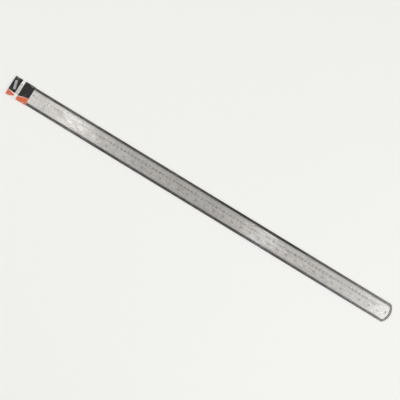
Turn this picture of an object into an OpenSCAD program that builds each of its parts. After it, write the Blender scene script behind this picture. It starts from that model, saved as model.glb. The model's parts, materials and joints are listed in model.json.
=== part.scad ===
// Steel ruler, 1 m / 40 in, in its storage sleeve: a blade that slides out of a flat pocket
// made of a black back sheet and a clear front film, with a stapled header card at the mouth.
// X runs along the blade from its zero end to its round end, +Y is the metric edge, and
// z = 0 is the underside of the sleeve. The origin is on the zero line, midway across.

/* [Blade] */
// Length of the steel, from the square zero end to the tip of the round end
blade_len = 1042; // [1030:1:1060]
// Width of the steel
blade_w = 35; // [30:0.5:40]
// Thickness of the steel
blade_t = 1.2; // [0.8:0.1:1.6]
// Radius of the arc at the far end
tip_r = 27; // [24:0.5:60]
// Diameter of the hang hole
hang_d = 5; // [3:0.5:8]
// Distance from the tip to the middle of the hang hole
hang_inset = 7; // [6:0.5:15]

/* [Sleeve] */
// Thickness of the black back sheet
back_t = 0.8; // [0.6:0.1:1.5]
// Thickness of the clear front film
film_t = 0.25; // [0.15:0.05:0.5]
// Distance that the sleeve reaches past the zero end to its open mouth
mouth_reach = 21; // [15:1:40]
// Width of the film's margin along each long side, outside the pocket
seam_w = 6.25; // [5:0.25:9]
// Width of the film's margin round the closed end
end_seam_w = 5.5; // [4:0.25:9]
// Width of the slope by which the film comes down beside the blade
slope_w = 1.85; // [1:0.05:2.5]
// Gap between the blade's edges and the pocket's outline
edge_gap = 0.5; // [0.2:0.1:1]
// Gap between the blade's flat faces and the sheets
face_gap = 0.05; // [0.05:0.05:0.2]

/* [Header card] */
// Length of the card along the ruler
card_len = 57; // [45:1:80]
// Width of the card
card_w = 51; // [48:0.5:60]
// Thickness of the card
card_t = 0.35; // [0.25:0.05:0.6]
// Distance that the card reaches past the mouth
card_reach = 2; // [0:0.5:10]

/* [Staples] */
// Length of each staple's crown
staple_len = 10; // [8:0.5:13]
// Width of the flat wire
wire_w = 0.6; // [0.4:0.05:0.8]
// Thickness of the flat wire
wire_t = 0.45; // [0.3:0.05:0.5]
// Length of each bent-over leg
clinch_len = 3.6; // [2:0.2:3.8]
// Distance from the card's ends to the middle of each staple
staple_inset = 8; // [7:0.5:14]

/* [Hidden] */
$fn = 128;

// Along the ruler
arc_x = blade_len - tip_r;
mouth_x = -mouth_reach;
card_x = mouth_x - card_reach;
staple_xs = [card_x + staple_inset, card_x + card_len - staple_inset];

// Across the ruler, from the middle
blade_half = blade_w / 2;
pocket_half = blade_half + edge_gap;
sleeve_half = pocket_half + seam_w;
card_half = card_w / 2;

// Round the closed end, from the arc's centre
pocket_r = tip_r + edge_gap;
sleeve_r = pocket_r + end_seam_w;
sleeve_tip_x = arc_x + sleeve_r;

// Upwards
blade_z = back_t + face_gap;
film_z = blade_z + blade_t + face_gap;
film_top = film_z + film_t;
seam_top = back_t + film_t;
card_seam_top = seam_top + card_t;

// How far the top of a sloping sheet's outside lies outside the pocket's outline
film_flare = 0.6 * film_t;
card_flare = film_flare + 0.6 * card_t;

// Foot of the film's slope, from the middle, where its welded margin begins
fold_y = pocket_half + film_flare + slope_w;
staple_y = (fold_y + sleeve_half) / 2;

// Flat outline with long straight sides and an arc at the far end
module outline(x0, half, r) {
    intersection() {
        translate([x0, -half]) square([arc_x + r - x0, 2 * half]);
        union() {
            translate([x0, -half]) square([arc_x - x0, 2 * half]);
            translate([arc_x, 0]) circle(r);
        }
    }
}

// Everything under a sheet that lies flat over the pocket and slopes down around it.
// flare is how far the top of the slope lies outside the pocket's outline, and the
// shape goes on straight down from z_foot by the film's thickness.
module mound(flare, z_foot, z_top) {
    z_base = z_foot - film_t;
    side_top = pocket_half + flare;
    side_foot = side_top + slope_w;
    end_top = pocket_r + flare;
    end_foot = end_top + slope_w;
    intersection() {
        translate([mouth_x, 0, 0]) rotate([90, 0, 90])
            linear_extrude(sleeve_tip_x - mouth_x)
                polygon([[-side_foot, z_base], [-side_foot, z_foot], [-side_top, z_top],
                         [side_top, z_top], [side_foot, z_foot], [side_foot, z_base]]);
        union() {
            translate([mouth_x, -sleeve_half, z_base])
                cube([arc_x - mouth_x, 2 * sleeve_half, z_top - z_base]);
            translate([arc_x, 0, 0]) rotate_extrude()
                polygon([[0, z_base], [0, z_top], [end_top, z_top],
                         [end_foot, z_foot], [end_foot, z_base]]);
        }
    }
}

// The clear film in one piece: flat over the blade, sloping down around it, and flat again
// where it is welded to the back sheet
module film_shell() {
    difference() {
        union() {
            translate([0, 0, back_t]) linear_extrude(film_t)
                outline(mouth_x, sleeve_half, sleeve_r);
            mound(film_flare, seam_top, film_top);
        }
        mound(0, back_t, film_z);
    }
}

// Lengthwise strip of the film between two distances from the middle: side is 1 towards
// the metric edge and -1 towards the inch edge
module film_strip(side, y_from, y_to) {
    y0 = side > 0 ? y_from : -y_to;
    intersection() {
        film_shell();
        translate([mouth_x, y0, 0])
            cube([sleeve_tip_x - mouth_x, y_to - y_from, film_top]);
    }
}

// Slope of the film down one side of the blade
module film_side(side) { film_strip(side, pocket_half, fold_y); }

// Flat margin of the film along one side, welded to the back sheet
module side_seam(side) {
    difference() {
        film_strip(side, fold_y, sleeve_half);
        all_staples();
    }
}

// One staple: a crown on the card, two legs through the sheets, and two ends bent over
// towards each other and pulled into the soft back sheet
module staple() {
    for (end = [-1, 1]) {
        leg_x = end * (staple_len - wire_t) / 2;
        translate([leg_x - wire_t / 2, -wire_w / 2, 0])
            cube([wire_t, wire_w, card_seam_top + wire_t]);
        tail_x = end > 0 ? staple_len / 2 - clinch_len : -staple_len / 2;
        translate([tail_x, -wire_w / 2, 0]) cube([clinch_len, wire_w, wire_t]);
    }
    translate([-staple_len / 2, -wire_w / 2, card_seam_top])
        cube([staple_len, wire_w, wire_t]);
}

module all_staples() {
    for (x = staple_xs, side = [-1, 1])
        translate([x, side * staple_y, 0]) staple();
}

// Stainless steel blade: square at zero, an arc at the far end, with a hang hole
module blade() {
    color([0.80, 0.80, 0.78])
        difference() {
            translate([0, 0, blade_z]) linear_extrude(blade_t) outline(0, blade_half, tip_r);
            translate([blade_len - hang_inset, 0, blade_z - 1])
                cylinder(d = hang_d, h = blade_t + 2);
        }
}

// Black back sheet, pierced by the staples
module sleeve_back() {
    color([0.11, 0.11, 0.11])
        difference() {
            linear_extrude(back_t) outline(mouth_x, sleeve_half, sleeve_r);
            all_staples();
        }
}

// Flat part of the clear film, over the blade
module front_film() {
    color([0.9, 0.93, 0.93, 0.35])
        translate([0, 0, film_z]) linear_extrude(film_t)
            outline(mouth_x, pocket_half, pocket_r);
}

// The film's sloping sides, one along each edge of the blade
module film_side_metric() { color([0.6, 0.62, 0.62, 0.5]) film_side(1); }

module film_side_inch() { color([0.6, 0.62, 0.62, 0.5]) film_side(-1); }

// The film's welded margins: two long ones, and the one round the closed end, which takes
// in the slope there
module seam_metric() { color([0.25, 0.25, 0.25]) side_seam(1); }

module seam_inch() { color([0.25, 0.25, 0.25]) side_seam(-1); }

module seam_end() {
    color([0.25, 0.25, 0.25])
        difference() {
            intersection() {
                film_shell();
                translate([arc_x, -pocket_half, 0])
                    cube([sleeve_r, 2 * pocket_half, film_top]);
            }
            translate([0, 0, back_t]) linear_extrude(film_top)
                outline(mouth_x, pocket_half, pocket_r);
        }
}

// Printed header card, bent down at both long sides onto the welded margins
module header_card() {
    film_side = pocket_half + film_flare;
    card_side = pocket_half + card_flare;
    right_lower = [[film_side, film_top], [film_side + slope_w, seam_top],
                   [card_half, seam_top]];
    right_upper = [[card_half, card_seam_top], [card_side + slope_w, card_seam_top],
                   [card_side, film_top + card_t]];
    left = [for (p = concat(right_lower, right_upper)) [-p[0], p[1]]];
    color([0.80, 0.42, 0.28])
        difference() {
            translate([card_x, 0, 0]) rotate([90, 0, 90]) linear_extrude(card_len)
                polygon(concat(right_lower, right_upper, [for (i = [5:-1:0]) left[i]]));
            all_staples();
        }
}

// Four wire staples, one near each corner of the card
module staples() { color([0.75, 0.75, 0.76]) all_staples(); }

blade();
sleeve_back();
front_film();
film_side_metric();
film_side_inch();
seam_metric();
seam_inch();
seam_end();
header_card();
staples();
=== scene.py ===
"""A 1 m / 40 in steel ruler in its storage sleeve, lying on a pale floor.

Everything is in metres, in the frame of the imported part: X along the ruler from its zero
line, +Y towards the metric edge, and Z up from the underside of the sleeve.
"""

import json
import math

import bmesh
import bpy
from mathutils import Matrix, Vector, noise


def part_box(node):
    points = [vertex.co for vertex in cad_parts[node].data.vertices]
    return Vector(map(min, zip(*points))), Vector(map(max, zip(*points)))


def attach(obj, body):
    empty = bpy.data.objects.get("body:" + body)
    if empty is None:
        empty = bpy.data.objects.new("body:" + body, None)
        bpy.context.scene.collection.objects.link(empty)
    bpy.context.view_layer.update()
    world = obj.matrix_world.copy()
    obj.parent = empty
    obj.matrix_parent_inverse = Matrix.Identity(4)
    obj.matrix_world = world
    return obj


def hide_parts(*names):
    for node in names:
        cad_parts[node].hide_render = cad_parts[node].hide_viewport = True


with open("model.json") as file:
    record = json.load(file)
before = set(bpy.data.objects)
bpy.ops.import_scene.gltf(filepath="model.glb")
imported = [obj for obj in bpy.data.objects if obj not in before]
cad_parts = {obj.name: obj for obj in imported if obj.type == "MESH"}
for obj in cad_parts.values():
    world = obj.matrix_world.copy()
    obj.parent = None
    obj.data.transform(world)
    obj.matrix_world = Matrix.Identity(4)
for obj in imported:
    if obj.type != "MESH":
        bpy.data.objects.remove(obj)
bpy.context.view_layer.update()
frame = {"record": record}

# ---------------------------------------------------------------- sizes

MM = 0.001
INCH = 25.4 * MM

blade_lo, blade_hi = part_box("blade")
back_lo, back_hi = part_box("sleeve_back")
film_lo, film_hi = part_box("front_film")
seam_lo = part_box("seam_metric")[0]
card_lo, card_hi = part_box("header_card")
wire_lo, wire_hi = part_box("staples")
mounts = {m["name"]: m for m in frame["record"]["mounts"]}
hang_at = Vector(mounts["hang_hole"]["pos_m"])
hang_r = mounts["hang_hole"]["dims"]["r_mm"] * MM

# The far end's arcs share one centre, at arc_x
TIP_R = 27 * MM
arc_x = blade_hi.x - TIP_R

# The sleeve, from the middle outwards: the pocket, the slope that starts at its edge, the
# fold at the slope's foot, and the welded margin
pocket_half = film_hi.y
pocket_r = film_hi.x - arc_x
sleeve_half = back_hi.y
sleeve_r = back_hi.x - arc_x
fold_y = seam_lo.y
slope_run = fold_y - pocket_half
film_t = film_hi.z - film_lo.z
seam_z = back_hi.z

# Meshes: points closer than MERGE_GAP are joined, and a face smaller than NO_AREA is flat
MERGE_GAP = 0.002 * MM
NO_AREA = 1e-5 * MM ** 2
BEVEL_STEPS = 2
ARC_STEPS = 64

# Edges that turn by more than these angles stay sharp
SHARP_DEG = 25
SLAB_SHARP_DEG = 12
WIRE_SHARP_DEG = 40

# Blade
EDGE_BREAK = 0.12 * MM
HOLE_SIDES = 48

# Marks, which reach into the steel and stand a hair above it. The ticks are (length, width)
# by how many marks they are apart, with the longest first.
MARK_RAISE = 0.008 * MM
MARK_DEPTH = 0.05 * MM
MARK_INSET = 0.25 * MM
CENTIMETRES = 100
INCHES = 40
METRIC_TICKS = {10: (8.0 * MM, 0.20 * MM), 5: (6.4 * MM, 0.15 * MM), 1: (5.0 * MM, 0.13 * MM)}
INCH_TICKS = {16: (7.3 * MM, 0.20 * MM), 8: (6.3 * MM, 0.17 * MM), 4: (5.5 * MM, 0.16 * MM),
              2: (4.8 * MM, 0.15 * MM), 1: (4.1 * MM, 0.13 * MM)}

# Numerals: DIGIT_SHARE is a digit's height as a share of the font's size
DIGIT_H = 6.1 * MM
DIGIT_NARROW = 0.86
DIGIT_SHARE = 0.729
CURVE_SIDES = 3
METRIC_ROW_Y = 5.0 * MM
INCH_ROW_Y = -7.0 * MM

# Sleeve: its rows run across half of it. Its columns are even until END_RUN past the arc's
# centre, and the last one stops TIP_GAP short of the tip.
SHEET_EDGE = 0.1 * MM
SLOT_GAP = 0.05 * MM
MARGIN_ROWS = 20
SLOPE_ROWS = 7
POCKET_ROWS = 12
STRAIGHT_COLUMNS = 300
END_COLUMNS = 70
END_RUN = 0.5 * TIP_R
TIP_GAP = 0.02 * MM

# The film's waves: a short wave that runs aslant and a long swell, each with its share of
# the height and its own slice of the noise
RIPPLE_H = 0.45 * MM
RIPPLE_BASE = 0.15
RIPPLE_END_FADE = 25 * MM
RIPPLE_SIDE_FADE = 7 * MM
WAVE_SHARE = 0.7
WAVE_L = 42 * MM
WAVE_SLANT = 16 * MM
WAVE_W = 24 * MM
WAVE_SLICE = 2.3
SWELL_SHARE = 0.9
SWELL_L = 150 * MM
SWELL_W = 50 * MM
SWELL_SLICE = 7.1

# The weld lines on the margin
RIB_H = 0.03 * MM
RIB_PITCH = 0.9 * MM
RIB_INSET = 0.5 * MM
RIB_BAND = 2.9 * MM

# A white haze painted on the film rises from the first x below to its closed end, as a painted
# sheen. On the metric margin, between the next two, less haze and gloss paint a darker band of
# shade.
PAINTED_SHEEN_FROM_X = 0.72
SHADED_BAND_FROM_X = 0.53
SHADED_BAND_TO_X = 0.82
SHADED_BAND_FADE = 0.05
SHADED_BAND_EDGE = 1 * MM

# How much of the light the film mirrors when it is seen from straight above
FILM_GLOSS = 0.044

# Header card: its folds lie a little outside the film's
CARD_T = 0.35 * MM
CARD_CURL = 0.25 * MM
CURL_RUN = 2 * MM
CARD_FOLD_OUT = 0.25 * MM
card_fold_y = fold_y + CARD_FOLD_OUT
BEND_ROWS = 16
FLAT_ROWS = 12
NEAR_COLUMNS = 8
COLUMN_PITCH = 1 * MM

# Print on the card: a white band from BAND_X0 to BAND_X1 between two panels. Each pair is a
# height, or a gap, at the panel's left and right end. The bars stand in columns, which are at
# shares of the band's width.
INK_T = 0.012 * MM
PRINT_TRIM = 0.25 * MM
BAND_X0 = -2.7 * MM
BAND_X1 = 5.5 * MM
LEFT_WAVE = (-12 * MM, -16 * MM)
LEFT_GAP = (0.4 * MM, 2.6 * MM)
LEFT_FOOT_Y = -21.2 * MM
LEFT_FOOT_FROM = 8 * MM
LEFT_FOOT_RUN = 10 * MM
RIGHT_WAVE = (-16.5 * MM, -7.5 * MM)
RIGHT_GAP = (1.3 * MM, 0.3 * MM)
RIGHT_CURVE = 0.8
BAR_LENGTHS = [length * MM for length in (6.5, 4.0, 7.5, 5.0)]
BAR_COLUMNS = (0.28, 0.66)
BAR_W = 1.3 * MM
BAR_GAP = 1.6 * MM
BARS_TOP_Y = 15 * MM
PICTURE_AT = (-12.5 * MM, 5.5 * MM)
PICTURE_L = 23 * MM
PICTURE_W = 6.5 * MM
PICTURE_TURN = math.radians(-74)
PICTURE_MARKS = 12
PICTURE_LONG_EVERY = 4
PICTURE_LONG = 0.55 * PICTURE_W
PICTURE_SHORT = 0.33 * PICTURE_W
PICTURE_LINE = 0.6 * MM

# Staples
STAPLE_LEN = 10 * MM
CLINCH_LEN = 3.6 * MM
WIRE_W = 0.6 * MM
WIRE_T = 0.45 * MM
WIRE_BEND = 0.55 * MM
BEND_STEPS = 5
WIRE_CHAMFER = 0.25 * WIRE_T

# Camera: the picture is VIEW_WIDTH wide at the target
VIEW_TURN = math.radians(31.44)
VIEW_ELEVATION = math.radians(85)
VIEW_DISTANCE = 2.5
VIEW_WIDTH = 0.964
VIEW_TARGET = (0.517, -0.0008, back_hi.z)
SENSOR_WIDTH = 36.0

# Floor and sky: the sky has the strength SKY_ROUND up to the height SKY_LOW, where straight
# up is 1, and fades to SKY_ABOVE at SKY_HIGH
STAGE_X = 0.5
FLOOR_R = 9
FLOOR_SIDES = 96
FLOOR_GAP = 0.05 * MM
SKY_LOW, SKY_HIGH = 0.45, 0.9
SKY_ROUND, SKY_ABOVE = 0.88, 0.48

# Lights: each softbox is (x, y, watts), and each lamp is (x, width, watts)
LIGHT_H = 2.5
SOFTBOX_SIZE = (2.2, 2.2)
SOFTBOXES = {"left_softbox": (-1.6, 0.3, 18), "right_softbox": (2.32, -0.3, 26)}
LAMP_Y = 0.19
LAMP_L = 0.32
LAMPS = ((-0.32, 0.16, 0.62), (0.755, 0.10, 0.36), (1.45, 0.16, 0.2))


# ---------------------------------------------------------------- small helpers

def smooth(t):
    """0 below 0, 1 above 1, and an S between."""
    t = min(max(t, 0.0), 1.0)
    return t * t * (3 - 2 * t)


def mix(a, b, t):
    """The value a share t of the way from a to b."""
    return a + (b - a) * t


def linear(red, green, blue):
    """Linear colour of an 8-bit screen colour."""
    def one(c):
        c /= 255
        return c / 12.92 if c <= 0.04045 else ((c + 0.055) / 1.055) ** 2.4
    return one(red), one(green), one(blue), 1.0


def steps(start, stop, count):
    """count + 1 even steps from start to stop."""
    return [mix(start, stop, i / count) for i in range(count + 1)]


def add_piece(name, mesh, mat, body):
    """A finished mesh as a named piece that rides on a body."""
    piece = bpy.data.objects.new(name, mesh)
    bpy.context.scene.collection.objects.link(piece)
    piece.data.materials.clear()
    piece.data.materials.append(mat)
    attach(piece, body)
    return piece


def finish_mesh(name, bm, sharp_deg=SHARP_DEG):
    """Turns a bmesh into a mesh with outward normals, smooth apart from its sharp edges."""
    bmesh.ops.recalc_face_normals(bm, faces=bm.faces)
    for face in bm.faces:
        face.smooth = True
    mesh = bpy.data.meshes.new(name)
    bm.to_mesh(mesh)
    bm.free()
    mesh.set_sharp_from_angle(angle=math.radians(sharp_deg))
    return mesh


def curve_mesh(name, curve):
    """The mesh that a curve or text gives, with the curve itself removed."""
    holder = bpy.data.objects.new(name, curve)
    bpy.context.scene.collection.objects.link(holder)
    bpy.context.view_layer.update()
    graph = bpy.context.evaluated_depsgraph_get()
    mesh = bpy.data.meshes.new_from_object(holder.evaluated_get(graph))
    bpy.data.objects.remove(holder)
    bpy.data.curves.remove(curve)
    return mesh


def slab_mesh(name, loops, z0, z1, edge):
    """Flat plate between two heights: the first loop is its outline and the others are
    holes, with all edges rounded."""
    curve = bpy.data.curves.new(name, "CURVE")
    curve.dimensions = "2D"
    curve.fill_mode = "BOTH"
    curve.extrude = (z1 - z0) / 2 - edge
    curve.bevel_depth = edge
    curve.bevel_resolution = BEVEL_STEPS
    curve.offset = -edge
    for loop in loops:
        spline = curve.splines.new("POLY")
        spline.points.add(len(loop) - 1)
        for point, (x, y) in zip(spline.points, loop):
            point.co = (x, y, 0, 1)
        spline.use_cyclic_u = True
    mesh = curve_mesh(name, curve)
    mesh.transform(Matrix.Translation((0, 0, (z0 + z1) / 2)))
    bm = bmesh.new()
    bm.from_mesh(mesh)
    bpy.data.meshes.remove(mesh)
    bmesh.ops.remove_doubles(bm, verts=bm.verts, dist=MERGE_GAP)
    return finish_mesh(name, bm, SLAB_SHARP_DEG)


def outline(x0, half, radius):
    """Points round a long shape with a square end at x0 and an arc at the far end."""
    corner = math.asin(half / radius)
    arc = [(arc_x + radius * math.cos(a), radius * math.sin(a))
           for a in steps(-corner, corner, ARC_STEPS)]
    return [(x0, -half), *arc, (x0, half)]


def shell_mesh(name, columns, top, bottom):
    """Closed skin over columns of (x, y) points: top and bottom give the heights there."""
    bm = bmesh.new()
    upper = [[bm.verts.new((x, y, top(x, y))) for x, y in col] for col in columns]
    lower = [[bm.verts.new((x, y, bottom(x, y))) for x, y in col] for col in columns]
    last_col, last_row = len(columns) - 1, len(columns[0]) - 1
    for i in range(last_col):
        for j in range(last_row):
            bm.faces.new((upper[i][j], upper[i + 1][j], upper[i + 1][j + 1], upper[i][j + 1]))
            bm.faces.new((lower[i][j], lower[i][j + 1], lower[i + 1][j + 1], lower[i + 1][j]))
        for j in (0, last_row):
            bm.faces.new((upper[i][j], upper[i + 1][j], lower[i + 1][j], lower[i][j]))
    for i in (0, last_col):
        for j in range(last_row):
            bm.faces.new((upper[i][j], upper[i][j + 1], lower[i][j + 1], lower[i][j]))
    return finish_mesh(name, bm)


# ---------------------------------------------------------------- materials

class Nodes:
    """Short names for building one material's node tree."""

    def __init__(self, name):
        self.mat = bpy.data.materials.new(name)
        self.mat.use_nodes = True
        self.tree = self.mat.node_tree
        self.bsdf = self.tree.nodes["Principled BSDF"]
        self.out = self.tree.nodes["Material Output"]

    def add(self, kind, **settings):
        """A new node of a kind."""
        made = self.tree.nodes.new("ShaderNode" + kind)
        for key, value in settings.items():
            setattr(made, key, value)
        return made

    def link(self, source, target):
        """A link from one socket to another."""
        self.tree.links.new(source, target)

    def place(self, scale):
        """Object coordinates, stretched by a scale for each axis."""
        coords = self.add("TexCoord")
        mapping = self.add("Mapping")
        mapping.inputs["Scale"].default_value = scale
        self.link(coords.outputs["Object"], mapping.inputs["Vector"])
        return mapping.outputs["Vector"]

    def noise(self, scale, detail=3, roughness=0.55):
        """Noise whose features are 1 / scale metres long on each axis."""
        made = self.add("TexNoise")
        made.inputs["Scale"].default_value = 1
        made.inputs["Detail"].default_value = detail
        made.inputs["Roughness"].default_value = roughness
        self.link(self.place(scale), made.inputs["Vector"])
        return made.outputs["Fac"]

    def spread(self, value, low, high, from_low=0.0, from_high=1.0):
        """Turns one range of values into another, and holds the ends outside it."""
        made = self.add("MapRange")
        self.link(value, made.inputs["Value"])
        made.inputs["From Min"].default_value = from_low
        made.inputs["From Max"].default_value = from_high
        made.inputs["To Min"].default_value = low
        made.inputs["To Max"].default_value = high
        return made.outputs["Result"]

    def blend(self, fac, a, b):
        """Colour between two others; a and b are colours or sockets."""
        made = self.add("Mix", data_type="RGBA")
        self.link(fac, made.inputs[0])
        for value, socket in ((a, made.inputs[6]), (b, made.inputs[7])):
            if isinstance(value, bpy.types.NodeSocket):
                self.link(value, socket)
            else:
                socket.default_value = value
        return made.outputs[2]

    def join(self, operation, *values):
        """Values joined one after another by a Math operation, such as ADD."""
        so_far = values[0]
        for value in values[1:]:
            made = self.add("Math", operation=operation)
            self.link(so_far, made.inputs[0])
            self.link(value, made.inputs[1])
            so_far = made.outputs[0]
        return so_far

    def mix_shaders(self, fac, a, b):
        """Shader a, with shader b over it by a factor."""
        made = self.add("MixShader")
        self.link(fac, made.inputs[0])
        self.link(a.outputs[0], made.inputs[1])
        self.link(b.outputs[0], made.inputs[2])
        return made

    def bump(self, height, distance, strength, under=None):
        """Normal that a height gives, on top of the normal of another bump."""
        made = self.add("Bump")
        made.inputs["Distance"].default_value = distance
        made.inputs["Strength"].default_value = strength
        self.link(height, made.inputs["Height"])
        if under is not None:
            self.link(under, made.inputs["Normal"])
        return made.outputs["Normal"]

    def set(self, **values):
        """Plain numbers and colours on the Principled shader's own sockets."""
        for key, value in values.items():
            self.bsdf.inputs[key.replace("_", " ").title()].default_value = value

    def drive(self, **sources):
        """Links into the Principled shader's sockets."""
        for key, source in sources.items():
            self.link(source, self.bsdf.inputs[key.replace("_", " ").title()])


def brushed_steel():
    """Stainless steel, brushed lengthwise, with faint handling marks."""
    n = Nodes("brushed_stainless")
    streaks = n.noise((18, 5200, 5200), detail=4, roughness=0.7)
    broad = n.noise((60, 190, 190), detail=3)
    smears = n.noise((14, 60, 60), detail=3)
    tone = n.blend(n.spread(streaks, 0, 1, 0.3, 0.7), linear(190, 188, 185), linear(214, 212, 209))
    tone = n.blend(n.spread(broad, 0, 0.5, 0.35, 0.65), tone, linear(226, 224, 221))
    n.drive(base_color=tone)
    n.drive(roughness=n.join("ADD", n.spread(streaks, 0.22, 0.36, 0.3, 0.7),
                             n.spread(smears, -0.03, 0.07, 0.4, 0.7)))
    n.set(metallic=1.0)
    n.drive(normal=n.bump(streaks, 0.004 * MM, 0.5))
    return n.mat


def etched_ink():
    """Black ink that fills the etched marks, a little uneven."""
    n = Nodes("etched_ink")
    grain = n.noise((1500, 1500, 1500), detail=2)
    n.drive(base_color=n.blend(grain, linear(22, 22, 23), linear(40, 40, 40)))
    n.drive(roughness=n.spread(grain, 0.5, 0.7))
    return n.mat


def leather_grain_pvc():
    """Black PVC sheet with a fine leather grain, whose creases are painted darker as shade."""
    n = Nodes("black_grained_pvc")
    cells = n.add("TexVoronoi", feature="DISTANCE_TO_EDGE")
    cells.inputs["Scale"].default_value = 1
    n.link(n.place((900, 900, 900)), cells.inputs["Vector"])
    creases = n.spread(cells.outputs["Distance"], 0, 1, 0.0, 0.22)
    soft = n.noise((420, 420, 420), detail=3)
    scuffs = n.noise((35, 120, 120), detail=4, roughness=0.65)
    tone = n.blend(n.spread(scuffs, 0, 1, 0.35, 0.75), linear(23, 23, 23), linear(44, 43, 42))
    # The grain's creases are painted darker: painted shade
    tone = n.blend(creases, linear(15, 15, 15), tone)
    n.drive(base_color=tone, roughness=n.spread(scuffs, 0.34, 0.55, 0.3, 0.7))
    n.drive(normal=n.bump(creases, 0.05 * MM, 0.7, n.bump(soft, 0.08 * MM, 0.5)))
    return n.mat


def tightness(n, x, y):
    """1 on a band of the metric margin where less haze and gloss paint a darker shade on the film,
    and 0 elsewhere.
    """
    return n.join("MULTIPLY",
                  n.spread(x, 0.0, 1.0, SHADED_BAND_FROM_X, SHADED_BAND_FROM_X + SHADED_BAND_FADE),
                  n.spread(x, 1.0, 0.0, SHADED_BAND_TO_X - SHADED_BAND_FADE, SHADED_BAND_TO_X),
                  n.spread(y, 0.0, 1.0, fold_y - SHADED_BAND_EDGE, fold_y))


def clear_pvc():
    """Clear film: what is behind it shows through, under a gloss and a slight haze. The haze is
    dust, a mottle where the film clings, and a painted sheen that whitens it towards the closed
    end. The gloss grows at slanting views. A band on the metric margin has less haze and gloss,
    as painted shade."""
    n = Nodes("clear_pvc")
    clear = n.add("BsdfTransparent")
    clear.inputs["Color"].default_value = (0.975, 0.97, 0.965, 1)
    haze = n.add("BsdfDiffuse")
    haze.inputs["Color"].default_value = (0.9, 0.9, 0.9, 1)
    gloss = n.add("BsdfGlossy")
    gloss.inputs["Color"].default_value = (1, 1, 1, 1)

    at = n.add("SeparateXYZ")
    n.link(n.place((1, 1, 1)), at.inputs[0])
    # Band on the metric margin where the film is made darker: painted shade
    shaded_band = tightness(n, at.outputs["X"], at.outputs["Y"])
    dust = n.noise((30, 90, 90), detail=5, roughness=0.7)
    clinging = n.noise((110, 170, 170), detail=4, roughness=0.6)
    # Haze: dust and a clinging mottle, plus a white haze rising to the closed end as painted sheen
    dust_sheen_and_shade_haze = n.join("ADD", n.spread(dust, 0.01, 0.05, 0.35, 0.75),
                        n.spread(clinging, 0.0, 0.10, 0.5, 0.72),
                        n.spread(at.outputs["X"], 0.0, 0.11, PAINTED_SHEEN_FROM_X, back_hi.x))
    dust_sheen_and_shade_haze = n.join("MULTIPLY", dust_sheen_and_shade_haze, n.spread(shaded_band, 1.0, 0.1))

    creases = n.bump(n.noise((120, 210, 210), detail=3, roughness=0.6), 0.18 * MM, 0.6)
    wrinkles = n.bump(n.noise((45, 110, 110), detail=3), 0.6 * MM, 0.35, creases)
    n.link(wrinkles, gloss.inputs["Normal"])
    n.link(n.spread(dust, 0.05, 0.14, 0.35, 0.75), gloss.inputs["Roughness"])
    slant = n.add("LayerWeight")
    slant.inputs["Blend"].default_value = 0.5
    n.link(wrinkles, slant.inputs["Normal"])
    steep = n.add("Math", operation="POWER")
    steep.inputs[1].default_value = 5
    n.link(slant.outputs["Facing"], steep.inputs[0])
    # Less gloss in the margin band, as painted shade
    gloss_share = n.join("MULTIPLY", n.spread(steep.outputs[0], FILM_GLOSS, 1.0),
                         n.spread(shaded_band, 1.0, 0.4))

    film = n.mix_shaders(gloss_share, n.mix_shaders(dust_sheen_and_shade_haze, clear, haze), gloss)
    n.link(film.outputs[0], n.out.inputs["Surface"])
    n.tree.nodes.remove(n.bsdf)
    return n.mat


def card_stock():
    """White board with a soft fibre and a thin varnish."""
    n = Nodes("white_card")
    fibre = n.noise((900, 900, 900), detail=4, roughness=0.7)
    n.drive(base_color=n.blend(fibre, linear(226, 222, 218), linear(242, 240, 237)))
    n.drive(roughness=n.spread(fibre, 0.42, 0.6), normal=n.bump(fibre, 0.03 * MM, 0.4))
    return n.mat


def print_ink(name, dark, light):
    """Matt offset ink on the card: a fine mottle, with rubbed spots a little paler."""
    n = Nodes(name)
    mottle = n.noise((2600, 2600, 2600), detail=2)
    rubs = n.noise((70, 70, 70), detail=5, roughness=0.7)
    tone = n.blend(mottle, dark, light)
    tone = n.blend(n.spread(rubs, 0, 0.18, 0.6, 0.85), tone, linear(190, 180, 172))
    n.drive(base_color=tone, roughness=n.spread(rubs, 0.26, 0.5, 0.3, 0.8))
    n.drive(normal=n.bump(mottle, 0.01 * MM, 0.3))
    n.bsdf.inputs["Specular IOR Level"].default_value = 0.3
    return n.mat


def plated_wire():
    """Bright zinc-plated wire, drawn lengthwise."""
    n = Nodes("staple_wire")
    drawn = n.noise((500, 9000, 9000), detail=3)
    n.drive(base_color=n.blend(drawn, linear(198, 198, 202), linear(228, 228, 230)))
    n.drive(roughness=n.spread(drawn, 0.18, 0.34))
    n.set(metallic=1.0)
    return n.mat


def floor_paint():
    """Pale studio floor with the faintest unevenness."""
    n = Nodes("pale_floor")
    cloud = n.noise((0.8, 0.8, 0.8), detail=2)
    n.drive(base_color=n.blend(cloud, (0.885, 0.885, 0.87, 1), (0.915, 0.915, 0.90, 1)))
    n.set(roughness=0.85)
    return n.mat


# ---------------------------------------------------------------- camera, floor and light

def make_camera():
    """Camera almost straight above, turned so that the ruler falls from left to right."""
    right = Vector((math.cos(VIEW_TURN), math.sin(VIEW_TURN), 0))
    away = Vector((-math.sin(VIEW_TURN), math.cos(VIEW_TURN), 0))
    back = Vector((0, 0, math.sin(VIEW_ELEVATION))) - away * math.cos(VIEW_ELEVATION)
    data = bpy.data.cameras.new("camera")
    data.sensor_width = SENSOR_WIDTH
    data.lens = SENSOR_WIDTH * VIEW_DISTANCE / VIEW_WIDTH
    camera = bpy.data.objects.new("camera", data)
    bpy.context.scene.collection.objects.link(camera)
    turn = Matrix((right, back.cross(right), back)).transposed()
    place = Matrix.Translation(Vector(VIEW_TARGET) + back * VIEW_DISTANCE)
    camera.matrix_world = place @ turn.to_4x4()
    bpy.context.scene.camera = camera


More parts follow.
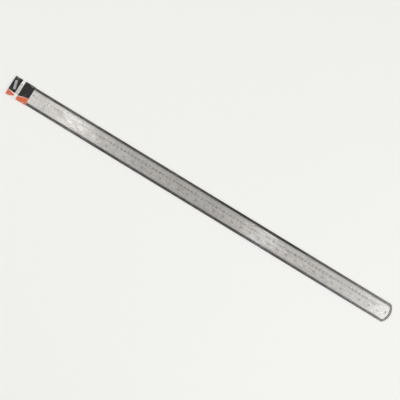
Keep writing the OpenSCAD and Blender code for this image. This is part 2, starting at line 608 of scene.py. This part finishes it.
def make_floor():
    """Large round floor just under the sleeve."""
    bm = bmesh.new()
    bmesh.ops.create_circle(bm, cap_ends=True, segments=FLOOR_SIDES, radius=FLOOR_R)
    bmesh.ops.translate(bm, verts=bm.verts, vec=(STAGE_X, 0, back_lo.z - FLOOR_GAP))
    floor = bpy.data.objects.new("floor", finish_mesh("floor", bm))
    bpy.context.scene.collection.objects.link(floor)
    floor.data.materials.append(floor_paint())


def make_softbox(name, at, aim, size, watts):
    """Rectangular light that the camera doesn't see itself."""
    data = bpy.data.lights.new(name, "AREA")
    data.shape = "RECTANGLE"
    data.size, data.size_y = size
    data.energy = watts
    lamp = bpy.data.objects.new(name, data)
    bpy.context.scene.collection.objects.link(lamp)
    lamp.location = at
    lamp.rotation_mode = "QUATERNION"
    lamp.rotation_quaternion = (Vector(aim) - Vector(at)).to_track_quat("-Z", "Y")
    lamp.visible_camera = False


def make_sky():
    """Soft light from all round, dimmer straight above."""
    world = bpy.data.worlds.new("studio")
    bpy.context.scene.world = world
    world.use_nodes = True
    tree = world.node_tree
    sky = tree.nodes["Background"]
    sky.inputs["Color"].default_value = (1.0, 0.995, 0.98, 1)
    way = tree.nodes.new("ShaderNodeTexCoord")
    split = tree.nodes.new("ShaderNodeSeparateXYZ")
    fall = tree.nodes.new("ShaderNodeMapRange")
    fall.interpolation_type = "SMOOTHSTEP"
    fall.inputs["From Min"].default_value = SKY_LOW
    fall.inputs["From Max"].default_value = SKY_HIGH
    fall.inputs["To Min"].default_value = SKY_ROUND
    fall.inputs["To Max"].default_value = SKY_ABOVE
    tree.links.new(way.outputs["Generated"], split.inputs[0])
    tree.links.new(split.outputs["Z"], fall.inputs["Value"])
    tree.links.new(fall.outputs[0], sky.inputs["Strength"])


def make_lamps():
    """A softbox beyond each end of the ruler, and a row of small lamps whose glare shows in
    the film."""
    for name, (x, y, watts) in SOFTBOXES.items():
        make_softbox(name, (x, y, LIGHT_H), (STAGE_X, 0, 0), SOFTBOX_SIZE, watts)
    for i, (x, width, watts) in enumerate(LAMPS):
        make_softbox("lamp_%d" % i, (x, LAMP_Y, LIGHT_H), (x, LAMP_Y, 0), (width, LAMP_L), watts)


# ---------------------------------------------------------------- the blade

def make_blade(mat):
    """Steel blade with broken edges and a hang hole."""
    hole = [(hang_at.x + hang_r * math.cos(a), hang_at.y - hang_r * math.sin(a))
            for a in steps(0, 2 * math.pi, HOLE_SIDES)[:-1]]
    loops = [outline(blade_lo.x, blade_hi.y, TIP_R), hole]
    mesh = slab_mesh("steel_blade", loops, blade_lo.z, blade_hi.z, EDGE_BREAK)
    piece = add_piece("steel_blade", mesh, mat, "blade")
    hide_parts("blade")


def add_bar(bm, x0, x1, y0, y1, z0, z1):
    """Closed bar between two corners."""
    made = bmesh.ops.create_cube(bm, size=1)["verts"]
    bmesh.ops.scale(bm, verts=made, vec=(x1 - x0, y1 - y0, z1 - z0))
    bmesh.ops.translate(bm, verts=made, vec=((x0 + x1) / 2, (y0 + y1) / 2, (z0 + z1) / 2))


def make_ticks(name, count, pitch, ticks, side, mat):
    """Etched lines 0 to count along one edge. The first step in ticks that divides a line's
    number gives its length and width."""
    bm = bmesh.new()
    outer = blade_hi.y - MARK_INSET
    for i in range(count + 1):
        length, width = next(size for every, size in ticks.items() if i % every == 0)
        x = max(i * pitch, MARK_INSET)
        ys = sorted((side * outer, side * (blade_hi.y - length)))
        add_bar(bm, x - width / 2, x + width / 2, *ys,
                blade_hi.z - MARK_DEPTH, blade_hi.z + MARK_RAISE)
    add_piece(name, finish_mesh(name, bm), mat, "blade")


def longest_edge(face):
    """The longest edge of a face."""
    return max(face.edges, key=lambda edge: edge.calc_length())


def mend_flat_faces(bm):
    """Turns the longest edge of each triangle that has no area, which gives it some. The
    triangles with the longest edges come first, because the others lie inside them."""
    flat = [face for face in bm.faces if face.calc_area() < NO_AREA]
    flat.sort(key=lambda face: longest_edge(face).calc_length(), reverse=True)
    for face in flat:
        bmesh.ops.rotate_edges(bm, edges=[longest_edge(face)])


def make_numerals(name, count, pitch, row_y, mat):
    """Numbers 1 to count, each centred on its own mark."""
    bm = bmesh.new()
    mid_z = blade_hi.z + (MARK_RAISE - MARK_DEPTH) / 2
    for number in range(1, count + 1):
        text = bpy.data.curves.new(name, "FONT")
        text.body = str(number)
        text.align_x = "CENTER"
        text.align_y = "CENTER"
        text.size = DIGIT_H / DIGIT_SHARE
        text.resolution_u = CURVE_SIDES
        text.extrude = (MARK_RAISE + MARK_DEPTH) / 2
        mesh = curve_mesh(name, text)
        mesh.transform(Matrix.Translation((number * pitch, row_y, mid_z))
                       @ Matrix.Diagonal((DIGIT_NARROW, 1, 1, 1)))
        bm.from_mesh(mesh)
        bpy.data.meshes.remove(mesh)
    bmesh.ops.remove_doubles(bm, verts=bm.verts, dist=MERGE_GAP)
    mend_flat_faces(bm)
    add_piece(name, finish_mesh(name, bm), mat, "blade")


# ---------------------------------------------------------------- the sleeve

def inside(x, y, half, radius):
    """How far a point lies inside an outline with this half width and end radius."""
    side = half - abs(y)
    if x <= arc_x:
        return side
    return min(side, radius - math.hypot(x - arc_x, y))


def rise(x, y):
    """0 on the welded margin and 1 over the pocket, smooth down the slope between."""
    return smooth(inside(x, y, fold_y, slope_run + pocket_r) / slope_run)


def ripple(x, y):
    """Lift of the loose film over the blade, none under the card or near the closed end."""
    room = (smooth((x - card_hi.x) / RIPPLE_END_FADE)
            * smooth((blade_hi.x - x) / RIPPLE_END_FADE)
            * smooth((pocket_half - abs(y)) / RIPPLE_SIDE_FADE))
    wave = noise.noise(Vector((x / WAVE_L + y / WAVE_SLANT, y / WAVE_W, WAVE_SLICE)))
    swell = noise.noise(Vector((x / SWELL_L, y / SWELL_W, SWELL_SLICE)))
    return room * RIPPLE_H * max(0.0, WAVE_SHARE * wave + SWELL_SHARE * swell + RIPPLE_BASE)


def ribs(x, y):
    """Fine weld lines along the margin."""
    in_from_edge = inside(x, y, sleeve_half, sleeve_r)
    if not RIB_INSET < in_from_edge < RIB_BAND + RIB_INSET:
        return 0.0
    return RIB_H * math.sin(math.pi * (in_from_edge - RIB_INSET) / RIB_PITCH) ** 2


def film_bottom(x, y):
    """Underside of the film."""
    return mix(seam_z, film_lo.z, rise(x, y)) + ripple(x, y)


def film_top(x, y):
    """Top of the film, with its weld lines."""
    return film_bottom(x, y) + film_t + ribs(x, y)


def sleeve_columns():
    """Columns of points across the sleeve: even along its straight part, and closer and
    shorter round its end."""
    margin = steps(sleeve_half, fold_y, MARGIN_ROWS)
    slope = steps(fold_y, pocket_half, SLOPE_ROWS)[1:]
    flat = steps(pocket_half, 0, POCKET_ROWS)[1:]
    half_row = margin + slope + flat
    row = [-y for y in half_row] + half_row[-2::-1]
    straight_end = arc_x + END_RUN
    tip_x = back_hi.x - TIP_GAP
    turn = [mix(straight_end, tip_x, math.sin(a)) for a in steps(0, math.pi / 2, END_COLUMNS)]
    columns = []
    for x in steps(back_lo.x, straight_end, STRAIGHT_COLUMNS)[:-1] + turn:
        half = sleeve_half
        if x > arc_x:
            half = min(half, math.sqrt(sleeve_r ** 2 - (x - arc_x) ** 2))
        columns.append([(x, y * half / sleeve_half) for y in row])
    return columns


def make_film(mat):
    """The clear front of the sleeve, in one piece."""
    mesh = shell_mesh("clear_front", sleeve_columns(), film_top, film_bottom)
    piece = add_piece("clear_front", mesh, mat, "sleeve")
    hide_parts("front_film", "film_side_metric", "film_side_inch",
                "seam_metric", "seam_inch", "seam_end")


def staple_middles():
    """Middle of each staple, in plan."""
    xs = (wire_lo.x + STAPLE_LEN / 2, wire_hi.x - STAPLE_LEN / 2)
    y = wire_hi.y - WIRE_W / 2
    return [(x, side * y) for x in xs for side in (-1, 1)]


def make_back(mat):
    """The black back sheet, slotted where the staples go through."""
    half_l, half_w = STAPLE_LEN / 2, WIRE_W / 2 + SLOT_GAP
    slots = [[(x - half_l, y - half_w), (x - half_l, y + half_w),
              (x + half_l, y + half_w), (x + half_l, y - half_w)]
             for x, y in staple_middles()]
    loops = [outline(back_lo.x, sleeve_half, sleeve_r), *slots]
    mesh = slab_mesh("black_back", loops, back_lo.z, back_hi.z, SHEET_EDGE)
    piece = add_piece("black_back", mesh, mat, "sleeve")
    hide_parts("sleeve_back")


# ---------------------------------------------------------------- the header card

def card_bottom(x, y):
    """Underside of the card: on the film, bent down beside the pocket, and curled up a
    little at its corners past the sleeve's mouth."""
    low = seam_z + film_t
    high = film_hi.z
    lift = smooth((card_fold_y - abs(y)) / slope_run)
    past_mouth = smooth((back_lo.x - x) / CURL_RUN)
    return mix(low, high, lift) + CARD_CURL * past_mouth * (1 - lift)


def card_top(x, y):
    """Top of the card."""
    return card_bottom(x, y) + CARD_T


def card_xs(x0, x1):
    """Columns along the card, closer where it lifts at the sleeve's mouth."""
    mouth = min(max(back_lo.x, x0), x1)
    near = steps(x0, mouth, NEAR_COLUMNS)[:-1] if mouth > x0 else []
    return near + steps(mouth, x1, round((x1 - mouth) / COLUMN_PITCH))


def card_ys(low, high):
    """Rows across the card, with the same ones on every layer where it bends."""
    flat_from, bend_from = card_fold_y - slope_run, card_fold_y
    cuts = [y for y in (-bend_from, -flat_from, flat_from, bend_from) if low < y < high]
    rows = [low]
    for start, stop in zip([low, *cuts], [*cuts, high]):
        bend = flat_from < abs(start + stop) / 2 < bend_from
        rows += steps(start, stop, BEND_ROWS if bend else FLAT_ROWS)[1:]
    return rows


def make_card(mat):
    """The white board of the card."""
    columns = [[(x, y) for y in card_ys(card_lo.y, card_hi.y)]
               for x in card_xs(card_lo.x, card_hi.x)]
    piece = add_piece("card_board", shell_mesh("card_board", columns, card_top, card_bottom),
                      mat, "sleeve")
    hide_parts("header_card")


def print_patch(name, x0, x1, low, high, mat):
    """Printed area of the card from x0 to x1, between the lines y = low(x) and y = high(x)."""
    columns = [[(x, y) for y in card_ys(low(x), high(x))] for x in card_xs(x0, x1)]
    mesh = shell_mesh(name, columns,
                      lambda x, y: card_top(x, y) + INK_T,
                      lambda x, y: card_top(x, y) - INK_T)
    add_piece(name, mesh, mat, "sleeve")


def make_print(black, orange):
    """A plain two-colour layout: black above, an orange wave below, and a white band."""
    x_left, x_right = card_lo.x + PRINT_TRIM, card_hi.x - PRINT_TRIM
    y_low, y_high = card_lo.y + PRINT_TRIM, card_hi.y - PRINT_TRIM

    def top(x):
        return y_high

    def foot(x):
        return y_low

    def left_share(x):
        return smooth((x - x_left) / (BAND_X0 - x_left))

    def left_wave(x):
        return mix(*LEFT_WAVE, left_share(x))

    def left_wave_gap(x):
        return left_wave(x) + mix(*LEFT_GAP, left_share(x))

    def left_foot(x):
        return mix(y_low, LEFT_FOOT_Y, smooth((x - x_left - LEFT_FOOT_FROM) / LEFT_FOOT_RUN))

    def right_share(x):
        return (x - BAND_X1) / (x_right - BAND_X1)

    def right_wave(x):
        return mix(*RIGHT_WAVE, right_share(x) ** RIGHT_CURVE)

    def right_wave_gap(x):
        return right_wave(x) + mix(*RIGHT_GAP, right_share(x))

    print_patch("print_black_left", x_left, BAND_X0, left_wave_gap, top, black)
    print_patch("print_orange_left", x_left, BAND_X0, left_foot, left_wave, orange)
    print_patch("print_black_right", BAND_X1, x_right, right_wave_gap, top, black)
    print_patch("print_orange_right", BAND_X1, x_right, foot, right_wave, orange)


def make_print_bars(dark):
    """Two columns of plain bars on the white band, where small print would be."""
    bm = bmesh.new()
    z0, z1 = film_hi.z + CARD_T - INK_T, film_hi.z + CARD_T + INK_T
    for share, lengths in zip(BAR_COLUMNS, (BAR_LENGTHS, BAR_LENGTHS[::-1])):
        x = mix(BAND_X0, BAND_X1, share)
        y = BARS_TOP_Y
        for length in lengths:
            add_bar(bm, x - BAR_W / 2, x + BAR_W / 2, y - length, y, z0, z1)
            y -= length + BAR_GAP
    add_piece("print_bars", finish_mesh("print_bars", bm), dark, "sleeve")


def make_pictogram(light, dark):
    """Picture of a short rule, set aslant on the left panel: a pale strip with dark marks."""
    half_l, half_w = PICTURE_L / 2, PICTURE_W / 2
    turn = Matrix.Rotation(PICTURE_TURN, 4, "Z")
    place = Matrix.Translation((*PICTURE_AT, film_hi.z + CARD_T)) @ turn
    strip, marks = bmesh.new(), bmesh.new()
    add_bar(strip, -half_l, half_l, -half_w, half_w, 0, 2 * INK_T)
    pitch = PICTURE_L / PICTURE_MARKS
    for i in range(1, PICTURE_MARKS):
        x = i * pitch - half_l
        length = PICTURE_SHORT if i % PICTURE_LONG_EVERY else PICTURE_LONG
        add_bar(marks, x - PICTURE_LINE / 2, x + PICTURE_LINE / 2, half_w - length, half_w,
                INK_T, 3 * INK_T)
    for name, bm, mat in (("print_pictogram", strip, light),
                          ("print_pictogram_marks", marks, dark)):
        bmesh.ops.transform(bm, verts=bm.verts, matrix=place)
        add_piece(name, finish_mesh(name, bm), mat, "sleeve")


# ---------------------------------------------------------------- the staples

def rounded_path(corners, radius):
    """The corners' path with each inner corner rounded."""
    path = [corners[0]]
    for before, at, after in zip(corners, corners[1:], corners[2:]):
        into = (at - before).normalized()
        out = (after - at).normalized()
        start, end = at - into * radius, at + out * radius
        for t in steps(0, 1, BEND_STEPS):
            path.append(start.lerp(at, t).lerp(at.lerp(end, t), t))
    return path + [corners[-1]]


def add_wire(bm, path):
    """Flat wire with broken edges along a path in the XZ plane."""
    w, t, c = WIRE_W / 2, WIRE_T / 2, WIRE_CHAMFER
    section = [(w, t - c), (w - c, t), (c - w, t), (-w, t - c),
               (-w, c - t), (c - w, -t), (w - c, -t), (w, c - t)]
    rings = []
    for i, at in enumerate(path):
        ahead = (path[min(i + 1, len(path) - 1)] - path[max(i - 1, 0)]).normalized()
        up = Vector((-ahead.z, 0, ahead.x))
        rings.append([bm.verts.new(at + up * b + Vector((0, a, 0))) for a, b in section])
    for one, two in zip(rings, rings[1:]):
        for k in range(len(section)):
            m = (k + 1) % len(section)
            bm.faces.new((one[k], one[m], two[m], two[k]))
    bm.faces.new(rings[0])
    bm.faces.new(rings[-1])


def make_staples(mat):
    """Four staples: a crown on the card, two legs, and two ends bent under the back."""
    bm = bmesh.new()
    half = (STAPLE_LEN - WIRE_T) / 2
    top, low = wire_hi.z - WIRE_T / 2, wire_lo.z + WIRE_T / 2
    tail = STAPLE_LEN / 2 - CLINCH_LEN
    corners = [Vector(c) for c in ((-tail, 0, low), (-half, 0, low), (-half, 0, top),
                                   (half, 0, top), (half, 0, low), (tail, 0, low))]
    path = rounded_path(corners, WIRE_BEND)
    for x, y in staple_middles():
        add_wire(bm, [p + Vector((x, y, 0)) for p in path])
    piece = add_piece("wire_staples", finish_mesh("wire_staples", bm, WIRE_SHARP_DEG), mat,
                      "sleeve")
    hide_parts("staples")


# ---------------------------------------------------------------- everything together

make_camera()
make_floor()
make_sky()
make_lamps()
bpy.context.scene.view_settings.view_transform = "Standard"

ink = etched_ink()
make_blade(brushed_steel())
make_ticks("metric_graduations", CENTIMETRES * 10, MM, METRIC_TICKS, 1, ink)
make_ticks("inch_graduations", INCHES * 16, INCH / 16, INCH_TICKS, -1, ink)
make_numerals("metric_numerals", CENTIMETRES, 10 * MM, METRIC_ROW_Y, ink)
make_numerals("inch_numerals", INCHES, INCH, INCH_ROW_Y, ink)

make_back(leather_grain_pvc())
make_film(clear_pvc())

black_ink = print_ink("black_print", linear(21, 20, 19), linear(31, 30, 28))
orange_ink = print_ink("orange_print", linear(208, 98, 60), linear(220, 113, 74))
grey_ink = print_ink("grey_print", linear(158, 158, 160), linear(178, 178, 180))
make_card(card_stock())
make_print(black_ink, orange_ink)
make_print_bars(black_ink)
make_pictogram(grey_ink, black_ink)
make_staples(plated_wire())
